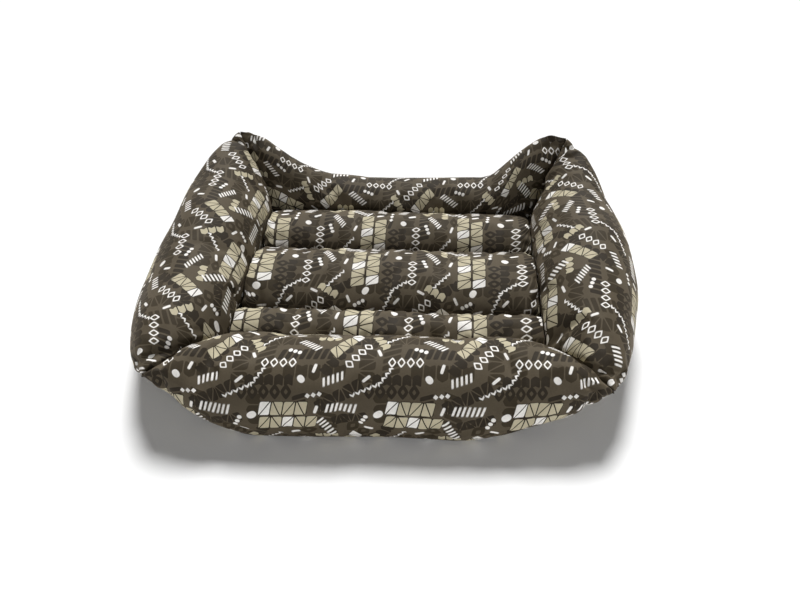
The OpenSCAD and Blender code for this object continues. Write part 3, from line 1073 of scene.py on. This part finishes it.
@dataclass
class Bolster:
    """One stuffed tube of printed cloth, closed at both ends in the corner seams.

    Its sizes are in metres. evenness, the smooth and the held ends are shares of its length, and
    the gathers are measured in shares of the way round it.
    """

    name: str
    side: Side
    nest: Nest
    thickness: float
    height: float
    first: BolsterEnd
    second: BolsterEnd
    phase: float
    drift: float = 0.0032
    settle: float = 0.028
    steps_along: int = 110
    steps_round: int = 88
    seam_gap: float = 0.0004
    slack: float = 0.0003
    gather_depth: float = 0.0030
    gather_reach: float = 0.070
    gather_start: float = 0.012
    wide_gathers: Folds = Folds(1 / 11, 1.9, 1 / 2, 0.7)
    fine_gathers: Folds = Folds(1 / 23, 1.3, 1 / 3, 0.3)
    second_shift: float = 1.7
    evenness: float = 0.35
    smooth_end: float = 0.05
    held_end: float = 0.002
    held_fade: float = 0.03
    held_foot: float = 0.02
    lean_top: float = 0.13
    lean_fade: float = 0.04
    lean_depth: float = 0.05
    wall_gap: float = 0.0006
    fibre_gap: float = 0.007
    points: np.ndarray = field(init=False, repr=False)

    @property
    def outward(self) -> np.ndarray:
        """Direction away from the nest."""
        return np.array([*self.side.value, 0.0])

    @property
    def along(self) -> np.ndarray:
        """Direction from the first corner to the second."""
        ox, oy = self.side.value
        return np.array([oy, -ox, 0.0])

    @property
    def ends(self) -> np.ndarray:
        """Where the bolster's two corners stand in the floor plane."""
        return np.array([self.first.corner.at, self.second.corner.at])

    @property
    def half(self) -> float:
        """Half the length of the nest side that the bolster closes."""
        return float(np.linalg.norm(self.ends[0] - self.ends[1])) / 2

    @property
    def middle(self) -> np.ndarray:
        """Middle of the nest side that the bolster closes."""
        return np.array([*(self.ends.sum(0) / 2), 0.0])

    def _reach(self, corner: Corner) -> tuple[float, float, float]:
        """How far a corner leans along the bolster, how steeply it rises, and half its chord."""
        out, rise = float(corner.flat_lean @ self.outward), corner.height - self.nest.cover_floor
        return float(abs(corner.flat_lean @ self.along)), math.atan2(rise, out), math.hypot(rise, out) / 2

    def surface(self, tau: np.ndarray, turn: np.ndarray) -> np.ndarray:
        """Points of the bolster's cover.

        Args:
            tau: Shares along the bolster, 0 at the first corner and 1 at the second.
            turn: Angles round it, 0 at its outer, upper edge.

        Returns:
            An array of points, one row for each tau and one column for each turn.
        """
        half, floor, a, b = self.half, self.nest.cover_floor, self.first, self.second
        along_a, lean_a, chord_a = self._reach(a.corner)
        along_b, lean_b, chord_b = self._reach(b.corner)
        t = tau[:, None]
        from_a, from_b = t * 2 * half, (1 - t) * 2 * half
        reach_a = 1 - ease(from_a / a.reach) ** a.hold
        reach_b = 1 - ease(from_b / b.reach) ** b.hold
        over = np.maximum(reach_a + reach_b, 1.0)
        reach_a, reach_b = reach_a / over, reach_b / over
        middle = 1 - reach_a - reach_b
        round_up = (self.height - floor + self.settle) / 2
        stretch = mix(1.0, self.thickness / 2 / round_up, middle)
        lean = reach_a * lean_a + reach_b * lean_b + middle * (lean_a + lean_b) / 2
        chord = reach_a * chord_a + reach_b * chord_b + middle * round_up
        bow = reach_a * a.corner.bow + reach_b * b.corner.bow
        plump = swell(from_a / a.plump) ** a.taper
        plump = plump * swell(from_b / b.plump) ** b.taper
        sink = self.settle * ease(from_a / a.plump) * ease(from_b / b.plump)
        thick = round_up * plump
        centre_out = stretch * np.hypot(chord * np.cos(lean), thick * np.sin(lean))
        centre_up = floor + np.hypot(chord * np.sin(lean), thick * np.cos(lean)) - sink
        s = np.cos(turn)[None, :]
        w = np.sin(turn)[None, :]
        out = centre_out + stretch * (s * chord * np.cos(lean) - w * thick * np.sin(lean))
        up = centre_up + s * chord * np.sin(lean) + w * thick * np.cos(lean) + bow * (1 - s * s)
        line = mix(-half - along_a * (s + 1) / 2, half + along_b * (s + 1) / 2, t)
        up = np.maximum(up, floor)
        lean_over = self.nest.lean(up, line / half) * (1 - ease((up - self.lean_top) / self.lean_fade))
        out = out - lean_over * (1 - ease(out / self.lean_depth))
        in_plan = self.middle + line[..., None] * self.along + out[..., None] * self.outward
        return in_plan + up[..., None] * UP

    def _gather(self, grid: np.ndarray) -> np.ndarray:
        """Depth of the gathers beside the corner seams.

        Args:
            grid: The cover's points.

        Returns:
            One depth for each point, between about -1 and 1.
        """
        run = run_length(grid)
        around = np.arange(grid.shape[1]) / grid.shape[1]
        total = np.zeros(run.shape)
        for distance, shift in ((run, self.phase), (run[-1:] - run, self.phase + self.second_shift)):
            fade = np.exp(-((distance / self.gather_reach) ** 2)) * ease(distance / self.gather_start)
            total += fade * gathers(around, shift, self.wide_gathers, self.fine_gathers)
        return total

    def build(self) -> None:
        """Make the cover: shape it, gather it, blow it up and set it against what it touches."""
        even = np.linspace(0, 1, self.steps_along + 1)
        tau = mix((1 - np.cos(np.pi * even)) / 2, even, self.evenness)
        rows, columns = len(tau), self.steps_round
        grid = self.surface(tau, TURN * np.arange(columns) / columns + math.pi)
        closed = np.concatenate([grid, grid[:, :1]], 1)
        run, around = run_length(closed), run_length(closed, 1)
        run -= run[len(run) // 2]
        around -= around[:, -1:] / 2
        # Both ends are sewn flat: their points fall together in pairs
        index = np.arange(rows * columns).reshape(rows, columns)
        for row in (0, rows - 1):
            for j in range(columns):
                index[row, j] = index[row, min(j, (columns - j) % columns)]
        used, fresh = np.unique(index.ravel(), return_inverse=True)
        fresh = fresh.reshape(index.shape)
        ring_cells = cells(rows - 1, columns)
        cover = Piece(
            f"{self.name}_bolster_cover_cloth",
            grid.reshape(-1, 3)[used],
            [tuple(int(fresh[i, j % columns]) for i, j in cell) for cell in ring_cells],
            [f"{self.name}_bolster_cover"],
            Slot.PRINT,
            places=[(-float(run[i, j]), float(around[i, j])) for cell in ring_cells for i, j in cell],
            fill=0.8,
            finer=1,
        )
        flat = cover.points
        made = cover.mesh()
        outward = point_normals(made)
        if float(np.mean(np.sum((flat - flat.mean(0)) * outward, 1))) < 0:
            made.data.flip_normals()
            outward = point_normals(made)
        from_end = np.minimum(tau, 1 - tau)[:, None].repeat(columns, 1).reshape(-1)[used]
        depth = self.gather_depth * self._gather(grid).reshape(-1)[used]
        depth += self.drift * ripple(flat) - self.slack
        depth *= ease(from_end / self.smooth_end)
        write_points(made, flat + outward * depth[:, None])
        held = 1 - ease((from_end - self.held_end) / self.held_fade)
        held = np.maximum(held, 1 - ease((flat[:, 2] - self.nest.cover_floor) / self.held_foot))
        Inflation().run(made, held, [(fresh, True)])
        self._seat_against(made)
        self.points = read_points(made)[fresh]
        cover.dress(made)

    def _seat_against(self, made: Thing) -> None:
        """Keep the cover above the floor, outside the nest and on its own side of each mitre.

        Args:
            made: The cover.
        """
        points = read_points(made)
        points[:, 2] = np.maximum(points[:, 2], self.nest.cover_floor)
        out = (points - self.middle) @ self.outward
        away = (points - self.middle) @ self.along / self.half
        lean = self.nest.lean(points[:, 2], away)
        points += np.maximum(self.wall_gap - lean - out, 0)[:, None] * self.outward
        corners = self.first.corner, self.second.corner
        for corner, sign in zip(corners, (1.0, -1.0)):
            inward = np.cross(UP, corner.flat_lean / np.linalg.norm(corner.flat_lean))
            inward *= math.copysign(1.0, float(inward @ self.along) * sign)
            distance = (points - np.array([*corner.at, 0.0])) @ inward
            points += np.maximum(self.seam_gap - distance, 0)[:, None] * inward
        write_points(made, points)
        write_points(made, corners[0].blunt(corners[1].blunt(read_points(made))))

    def build_filling(self) -> None:
        """Make the fibre inside: a slack copy of the cover's shape, a few millimetres smaller."""
        rings = self.points[6:-6:6, ::4]
        centre = rings.mean(1, keepdims=True)
        span = np.linalg.norm(rings - centre, axis=2, keepdims=True)
        rings = centre + (rings - centre) * np.maximum(1 - self.fibre_gap / np.maximum(span, MM), 0.05)
        name, nodes = f"{self.name}_bolster_fibre", [f"{self.name}_bolster_filling"]
        Piece(name, *loft(rings), nodes, Slot.FIBRE, fill=0.7).make()


@dataclass
class CornerSeam:
    """The turned-in edges of two covers, sewn together from the nest's floor to the corner's end."""

    name: str
    corner: Corner
    foot: float = 0.0052
    half_thickness: float = 0.0004
    half_depth: float = 0.0024
    sink: float = 0.001
    sink_share: float = 0.2
    end_share: float = 0.985
    steps: int = 60

    def build(self) -> None:
        """Make the strip."""
        f = np.linspace(0.0, self.end_share, self.steps)
        path = self.corner.seam(f, self.foot)
        path[:, 2] = np.maximum(path[:, 2] - self.sink * ease(f / self.sink_share), self.foot)
        lean = self.corner.flat_lean
        normal = np.cross(lean / np.linalg.norm(lean), UP)
        strip = tube(self.corner.blunt(path), (self.half_thickness, self.half_depth), normal)
        Piece(f"{self.name}_seam_strip", *strip, [f"{self.name}_corner_seam"]).make()


@dataclass
class Base:
    """The bottom cloth with its binding, and the lining on the nest's floor."""

    nest: Nest
    reach_x: float = 0.1139
    reach_front: float = 0.0983
    reach_rear: float = 0.0733
    roundness: float = 0.8
    thickness: float = 0.0015
    binding: float = 0.006
    binding_gap: float = 0.0003
    binding_height: float = 0.0009
    half_tape: float = 0.0006
    tape_roundness: float = 0.6
    ripple_depth: float = 0.0004
    stitch_inset: float = 0.012
    stitch_edge: float = 0.0006
    stitch_width: float = 0.0008
    steps: int = 40

    def outline(self, grow: float = 0.0) -> np.ndarray:
        """The bottom cloth's edge.

        Args:
            grow: How far outside the nest's corners it starts.

        Returns:
            Its points in the floor plane.
        """
        x = self.nest.half_width + grow
        front, rear = self.nest.front - grow, self.nest.rear + grow
        corners = [np.array(c) for c in ((-x, front), (x, front), (x, rear), (-x, rear))]
        bulges = [(0, -self.reach_front), (self.reach_x, 0), (0, self.reach_rear), (-self.reach_x, 0)]
        f = (np.arange(self.steps) / self.steps)[:, None]
        found = []
        for a, b, bulge in zip(corners, corners[1:] + corners[:1], bulges):
            found.append(a + (b - a) * f + np.array(bulge) * np.sin(math.pi * f) ** self.roundness)
        return np.concatenate(found)

    def build(self) -> None:
        """Make the bottom cloth, its binding, the lining and the lining's stitches."""
        for make in (self._sheet, self._binding, self._lining, self._stitches):
            make()

    def _sheet(self) -> None:
        """Make the bottom cloth: a flat sheet on the floor."""
        edge = self.outline()
        centre = np.array([0.0, self.nest.middle])
        rings = centre + (edge - centre)[None] * np.linspace(0.04, 1.0, 14)[:, None, None]
        solid = loft(np.concatenate([at_height(rings, 0.0), at_height(rings, self.thickness)[::-1]]))
        piece = Piece("base_cloth", *solid, ["base_sheet"], Slot.BASE).make(smooth=False)

    def _binding(self) -> None:
        """Make the tape round the bottom cloth's edge."""
        turn = TURN * np.arange(12) / 12
        section = (np.cos(turn), np.sin(turn))
        across, upward = (np.sign(w) * np.abs(w) ** self.tape_roundness for w in section)
        edge = at_height(self.outline(self.binding_gap + self.binding / 2), self.binding_height)
        band = hoop(edge, across * self.binding / 2, upward * self.half_tape)
        Piece("base_edge_tape", *band, ["base_binding"]).make()

    def _lining(self) -> None:
        """Make the cloth that closes the nest's floor under the cushion."""
        low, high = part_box("base_lining")
        x, y = np.linspace(low[0], high[0], 60), np.linspace(low[1], high[1], 48)
        plan = np.stack(np.meshgrid(x, y), -1)
        wave = ripple(at_height(plan, 0.0).reshape(-1, 3)).reshape(plan.shape[:2])
        top = at_height(plan, high[2] - self.ripple_depth + self.ripple_depth * wave)
        points, faces = loft(np.concatenate([top, at_height(plan, low[2])[:, ::-1]], 1))
        places = [(float(points[v][0]), float(points[v][1])) for f in faces for v in f]
        piece = Piece("nest_lining", points, faces, ["base_lining"], Slot.LINING, places=places).make()

    def _stitches(self) -> None:
        """Make the stitches round the lining's edge."""
        stitching = Stitching(self.stitch_width)
        (x0, y0, z), (x1, y1, _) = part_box("base_stitches")
        edge, inset = self.stitch_edge, self.stitch_inset
        rows = [[(x0 + inset, y, z), (x1 - inset, y, z)] for y in (y0 + edge, y1 - edge)]
        rows += [[(x, y0 + inset, z), (x, y1 - inset, z)] for x in (x0 + edge, x1 - edge)]
        Piece("lining_stitches", *stitching.along(*rows), ["base_stitches"]).make()


# The cushion


@dataclass(frozen=True)
class Channel:
    """One quilted channel of the cushion: its front and rear edge and its crown, in metres."""

    front: float
    rear: float
    crown: float
    closes_front: bool = False
    closes_rear: bool = False


@dataclass
class SeatCushion:
    """The loose cushion: two panels sewn together round the edge and quilted across twice.

    Its sizes are in metres. Its sides spread from the lip up, so that they lie against the bolsters.
    """

    nest: Nest
    play: float = 0.0015
    lip: float = 0.003
    lip_thickness: float = 0.0025
    edge_height: float = 0.038
    outer_crown: float = 0.040
    middle_crown: float = 0.050
    front_channel: float = 0.068
    middle_channel: float = 0.157
    land: float = 0.004
    draw: float = 0.007
    corner_draw: float = 0.008
    sag: float = 0.0475
    end_power: float = 32.0
    floor: float = 0.0031
    columns: int = 112
    rows: tuple[int, int, int] = (30, 44, 36)
    half_gap: float = 0.0012
    spread: float = 0.013
    spread_foot: float = 0.003
    spread_rise: float = 0.014
    spread_power: int = 8
    clear: float = 0.0012
    evenness: float = 0.45
    drift: float = 0.0022
    pucker_reach: float = 0.03
    wide_puckers: Folds = Folds(0.021, 2.2, 0.13, 0.0014)
    fine_puckers: Folds = Folds(0.0115, 1.4, 0.07, 0.0006)
    side_puckers: Folds = Folds(0.024, 1.7, 0.09, 0.0016)
    fibre_drop: float = 0.008
    fibre_lift: float = 0.004
    thread_inset: float = 0.005
    thread_width: float = 0.0009
    thread_drop: float = 0.0007

    @property
    def half_width(self) -> float:
        """Half the width of the panels."""
        return self.nest.half_width - self.play - self.lip

    @property
    def front(self) -> float:
        """Y of the panels' front edge."""
        return self.nest.front + self.play + self.lip

    @property
    def quilting(self) -> tuple[float, float]:
        """Y of the two rows of quilting."""
        return self.front + self.front_channel, self.front + self.front_channel + self.middle_channel

    def channels(self) -> list[Channel]:
        """The three channels, from the front."""
        (first, second), half = self.quilting, self.land / 2
        rear = self.nest.rear - self.play - self.lip
        return [
            Channel(self.front, first - half, self.outer_crown, closes_front=True),
            Channel(first + half, second - half, self.middle_crown),
            Channel(second + half, rear, self.outer_crown, closes_rear=True),
        ]

    def _surface(self, channel: Channel, v: np.ndarray, p: np.ndarray, up: float) -> np.ndarray:
        """Points of one channel.

        Args:
            channel: The channel.
            v: Shares from -1 at its front to 1 at its rear.
            p: Shares from -1 at the left to 1 at the right.
            up: 1 for the top panel, -1 for the bottom one.

        Returns:
            An array of points, one row for each v.
        """
        v, p = v[:, None], p[None, :]
        arch = np.sqrt(np.maximum(1 - v * v, 0))
        fall = np.sqrt(np.maximum(1 - np.abs(p) ** self.end_power, 0))
        half_w = self.half_width - self.draw * (1 - arch)
        trim = self.corner_draw * np.abs(p) ** 6
        drawn = trim * (channel.closes_front * (1 - v) - channel.closes_rear * (1 + v)) / 2
        at_edge = (np.abs(p) == 1) | ((v == -1) & channel.closes_front) | ((v == 1) & channel.closes_rear)
        crown = channel.crown if up > 0 else self.sag
        z = self.edge_height + up * (np.where(at_edge, 0.0, self.half_gap) + crown * arch * fall)
        z = np.maximum(z, self.floor)
        y = (channel.front + channel.rear) / 2 + v * (channel.rear - channel.front) / 2 + drawn
        return np.stack([p * half_w, np.broadcast_to(y, z.shape), z], -1)

    def _grid(self, up: float) -> np.ndarray:
        """All rows of one panel.

        Args:
            up: 1 for the top panel, -1 for the bottom one.

        Returns:
            An array of points, from the front and the left.
        """
        p = np.sin(np.linspace(-1, 1, self.columns) * math.pi / 2)
        p = mix(p, np.linspace(-1, 1, self.columns), self.evenness)
        parts = []
        for channel, count in zip(self.channels(), self.rows):
            v = -np.cos(np.linspace(0, math.pi, count))
            v[0], v[-1] = -1.0, 1.0
            parts.append(self._surface(channel, v, p, up))
        return np.concatenate(parts)

    def build(self) -> None:
        """Make the cover, the edge seam, the fillings and the quilting."""
        for make in (self._cover, self._edge_seam, self._fillings, self._stitching):
            make()

    def _cover(self) -> None:
        """Make the two panels as one closed cover, printed above and plain below."""
        top, bottom = self._grid(1.0), self._grid(-1.0)
        rows, columns = top.shape[:2]
        upper = np.arange(rows * columns).reshape(rows, columns)
        held_grid = np.ones((rows, columns))
        held_grid[1:-1, 1:-1] = 0.0
        lower = np.where(held_grid > 0, upper, upper + rows * columns)
        for crease in np.cumsum(self.rows[:-1]):
            held_grid[crease - 1 : crease + 1] = 1.0
        used, fresh = np.unique([upper, lower], return_inverse=True)
        fresh = fresh.reshape(2, rows, columns)
        run_x, run_y = run_length(top, 1), run_length(top)
        run_x -= run_x[:, columns // 2][:, None]
        panel = cells(rows - 1, columns - 1)
        sides = ((fresh[0], panel), (fresh[1], [cell[::-1] for cell in panel]))
        cover = Piece(
            "seat_cushion_cover",
            np.concatenate([top.reshape(-1, 3), bottom.reshape(-1, 3)])[used],
            [tuple(int(grid[at]) for at in cell) for grid, side in sides for cell in side],
            ["seat_top_panel", "seat_bottom_panel"],
            Slot.PRINT,
            Body.CUSHION,
            [(float(run_y[at]), float(run_x[at])) for _, side in sides for cell in side for at in cell],
            fill=0.7,
            finer=1,
        )
        made = cover.mesh()
        made.data.materials.append(Piece.wardrobe[Slot.LINING])
        plain = np.repeat(np.arange(2, dtype=np.int32), len(panel))
        made.data.polygons.foreach_set("material_index", plain)
        held = np.tile(held_grid.ravel(), 2)[used]
        depth = self._puckers(top, bottom)[used] * (1 - held)
        write_points(made, cover.points + point_normals(made) * depth[:, None])
        inflation = Inflation(pressure=3.0, spare_share=0.03, cap=0.008, slow_steps=4.0)
        inflation.run(made, held, [(fresh[0], False), (fresh[1], False)])
        self._press_against_bolsters(made)
        cover.dress(made)

    def _press_against_bolsters(self, made: Thing) -> None:
        """Spread the puffs' sides until they lie against the bolsters, and keep them clear of those.

        Args:
            made: The cover.
        """
        points = read_points(made)
        points[:, 2] = np.maximum(points[:, 2], self.floor)
        room = np.array([self.nest.half_width, self.nest.half_depth])
        middle = np.array([0.0, self.nest.middle])
        share = (points[:, :2] - middle) / room
        above_lip = ease((points[:, 2] - self.edge_height - self.spread_foot) / self.spread_rise)
        spread = self.spread * above_lip[:, None] * np.sign(share) * np.abs(share) ** self.spread_power
        for axis in (0, 1):
            limit = room[axis] - self.nest.lean(points[:, 2], share[:, 1 - axis]) - self.clear
            moved = points[:, axis] - middle[axis] + spread[:, axis]
            points[:, axis] = middle[axis] + np.clip(moved, -limit, limit)
        write_points(made, points)

    def _puckers(self, *panels: np.ndarray) -> np.ndarray:
        """Depth of the puckers that the quilting draws into the panels.

        Args:
            panels: The points of each panel.

        Returns:
            One depth for each point of both.
        """
        found = []
        for grid in panels:
            x, y = grid[..., 0], grid[..., 1]
            total = self.drift * ripple(grid.reshape(-1, 3)).reshape(x.shape)
            for k, line in enumerate(self.quilting):
                fade = np.exp(-((np.abs(y - line) / self.pucker_reach) ** 2))
                total += fade * gathers(x, k, self.wide_puckers, self.fine_puckers)
            fade = np.exp(-(((self.half_width - np.abs(x)) / self.pucker_reach) ** 2))
            total += fade * self.side_puckers.at(y)
            found.append(total.ravel())
        return np.concatenate(found)

    def _edge_seam(self) -> None:
        """Make the sewn lip round the cushion."""
        grid = self._grid(1.0)
        rim = np.concatenate([grid[0, :-1], grid[:-1, -1], grid[-1, :0:-1], grid[:0:-1, 0]])
        rim = rim[np.linalg.norm(rim - np.roll(rim, 1, 0), axis=1) > 0.0004]
        turn = TURN * np.arange(8) / 8
        band = hoop(rim, self.lip / 2 * (1 + np.cos(turn)), self.lip_thickness / 2 * np.sin(turn))
        Piece("seat_edge_lip", *band, ["seat_edge_seam"], body=Body.CUSHION).make()

    def _fillings(self) -> None:
        """Make the fibre in each channel, a little smaller than its cover."""
        v, p = np.linspace(-0.86, 0.86, 9), np.linspace(-0.93, 0.93, 15)
        for name, channel in zip(("front", "middle", "rear"), self.channels()):
            top = self._surface(channel, v, p, 1.0) - self.fibre_drop * UP
            bottom = self._surface(channel, v, p, -1.0) + self.fibre_lift * UP
            solid, nodes = loft(np.concatenate([top, bottom[:, ::-1]], 1)), [f"seat_{name}_filling"]
            Piece(f"seat_{name}_fibre", *solid, nodes, Slot.FIBRE, Body.CUSHION, fill=0.6).make()

    def _stitching(self) -> None:
        """Make the quilting thread, above and below the cushion."""
        x = self.half_width - self.draw - self.thread_inset
        low = self.edge_height - self.half_gap - self.thread_drop
        levels = (self.edge_height + self.half_gap, low)
        for name, y in zip(("front", "rear"), self.quilting):
            threads = Stitching(self.thread_width).along(*([(-x, y, z), (x, y, z)] for z in levels))
            nodes = [f"seat_{name}_quilting"]
            Piece(f"seat_{name}_thread", *threads, nodes, body=Body.CUSHION).make()


# The studio


@dataclass(frozen=True)
class Studio:
    """A pale floor, soft light and a camera where the photograph was taken from."""

    position: tuple[float, float, float] = (0.0747, -0.8857, 0.7416)
    yaw: float = 4.09
    pitch: float = 39.4
    roll: float = -0.87
    focal_pixels: float = 716.0
    image_width: float = 800.0
    sensor: float = 36.0
    floor_size: float = 14.0
    floor_level: float = 0.97
    floor_lift: float = 0.03
    key_strength: float = 3.75
    key_elevation: float = 54.0
    key_softness: float = 21.0
    front_place: tuple[float, float, float] = (0.8, -2.2, 0.85)
    front_aim: tuple[float, float, float] = (0.0, 0.0, 0.08)
    front_size: float = 1.5
    front_power: float = 16.0
    world_level: float = 0.06

    def build(self) -> None:
        """Make the camera, the lights, the floor and the world."""
        for make in (self._camera, self._floor, self._lights, self._world):
            make()
        bpy.context.scene.view_settings.view_transform = "Standard"

    def _camera(self) -> None:
        """Place the camera."""
        yaw, pitch, roll = (math.radians(a) for a in (self.yaw, self.pitch, self.roll))
        level = math.cos(pitch)
        ahead = Vector((-math.sin(yaw) * level, math.cos(yaw) * level, -math.sin(pitch)))
        right = Vector((math.cos(yaw), math.sin(yaw), 0.0))
        up = right.cross(ahead)
        cos, sin = math.cos(roll), math.sin(roll)
        right, up = right * cos + up * sin, up * cos - right * sin
        data = bpy.data.cameras.new("Camera")
        data.sensor_width = self.sensor
        data.lens = self.focal_pixels / self.image_width * self.sensor
        camera = put_in_scene("Camera", data)
        turn = Matrix((right, up, -ahead)).transposed()
        camera.matrix_world = Matrix.Translation(self.position) @ turn.to_4x4()
        bpy.context.scene.camera = camera

    def _floor(self) -> None:
        """Make the pale floor, which shows white to the camera and keeps the shadow."""
        bpy.ops.mesh.primitive_plane_add(size=self.floor_size)
        floor = bpy.context.active_object
        floor.name = "studio_floor"
        sheet = MaterialSheet("Studio floor")
        level = (self.floor_level, self.floor_level, self.floor_level, 1.0)
        rays = sheet.node("ShaderNodeLightPath").outputs
        seen = sheet.math("ADD", rays["Is Camera Ray"], rays["Is Glossy Ray"])
        seen = sheet.math("ADD", seen, rays["Is Transmission Ray"], clamp=True)
        lift = sheet.math("MULTIPLY", seen, self.floor_lift)
        glow = {"Emission_Color": WHITE, "Emission_Strength": lift}
        sheet.fill(sheet.shader, Base_Color=level, Roughness=0.9, **glow)
        floor.data.materials.append(sheet.made)

    def _lights(self) -> None:
        """Make the key light, high behind the bed, and the low, soft light in front of it."""
        key = bpy.data.lights.new("Key light", "SUN")
        key.energy, key.angle = self.key_strength, math.radians(self.key_softness)
        front = bpy.data.lights.new("Front light", "AREA")
        front.shape, front.size, front.energy = "SQUARE", self.front_size, self.front_power
        height, place = math.radians(self.key_elevation), Vector(self.front_place)
        key_way = Vector((0.0, -math.cos(height), -math.sin(height)))
        for data, way in ((key, key_way), (front, Vector(self.front_aim) - place)):
            lamp = put_in_scene(data.name, data)
            lamp.rotation_euler = way.to_track_quat("-Z", "Y").to_euler()
        lamp.location = place

    def _world(self) -> None:
        """Light all round, with white behind everything."""
        world = bpy.data.worlds.new("Studio")
        bpy.context.scene.world = world
        world.use_nodes = True
        sheet = NodeSheet(world.node_tree)
        rays = sheet.node("ShaderNodeLightPath").outputs
        seen = sheet.math("MAXIMUM", rays["Is Camera Ray"], rays["Is Glossy Ray"])
        seen = sheet.math("MAXIMUM", seen, rays["Is Transmission Ray"])
        back, strength = world.node_tree.nodes["Background"], sheet.spread(seen, self.world_level, 1.0)
        sheet.fill(back, Color=WHITE, Strength=strength)


def build_bed() -> None:
    """Build the fixed body of the bed: base, bolsters, fillings and corner seams."""
    nest = Nest()
    x, front, rear = nest.half_width, nest.front, nest.rear
    corners = {
        "front_left": Corner((-x, front), (-0.081, -0.106), 0.090, -0.006, round_share=0.12),
        "front_right": Corner((x, front), (0.074, -0.096), 0.080, 0.002, round_share=0.12),
        "rear_left": Corner((-x, rear), (-0.060, 0.064), 0.178, 0.002, round_share=0.16),
        "rear_right": Corner((x, rear), (0.060, 0.064), 0.178, 0.002),
    }
    front_left, front_right, rear_left, rear_right = corners.values()
    bolsters = [
        Bolster(
            "front", Side.FRONT, nest, 0.131, 0.110,
            BolsterEnd(front_right, reach=0.242, plump=0.146, hold=0.86),
            BolsterEnd(front_left, reach=0.308, plump=0.096, hold=1.05, taper=1.2),
            phase=0.3, drift=0.0018,
        ),
        Bolster(
            "rear", Side.REAR, nest, 0.094, 0.098,
            BolsterEnd(rear_left, reach=0.131, plump=0.210, hold=0.85, taper=1.25),
            BolsterEnd(rear_right, reach=0.116, plump=0.175, hold=1.35, taper=1.25),
            phase=1.1, settle=0.026,
        ),
        Bolster(
            "left", Side.LEFT, nest, 0.145, 0.150,
            BolsterEnd(front_left, reach=0.221, plump=0.153),
            BolsterEnd(rear_left, reach=0.173, plump=0.222, hold=0.5, taper=1.15),
            phase=2.3,
        ),
        Bolster(
            "right", Side.RIGHT, nest, 0.147, 0.150,
            BolsterEnd(rear_right, reach=0.089, plump=0.222, hold=0.64, taper=1.43),
            BolsterEnd(front_right, reach=0.190, plump=0.236),
            phase=3.4,
        ),
    ]
    Base(nest).build()
    for bolster in bolsters:
        bolster.build()
        bolster.build_filling()
    for name, corner in corners.items():
        CornerSeam(name, corner).build()


def main() -> None:
    """Build the studio, the bed and its cushion."""
    logging.basicConfig(level=logging.INFO, format="%(name)s: %(message)s")
    Studio().build()
    Piece.wardrobe.update(make_wardrobe())
    build_bed()
    SeatCushion(Nest()).build()


if __name__ == "__main__":
    main()
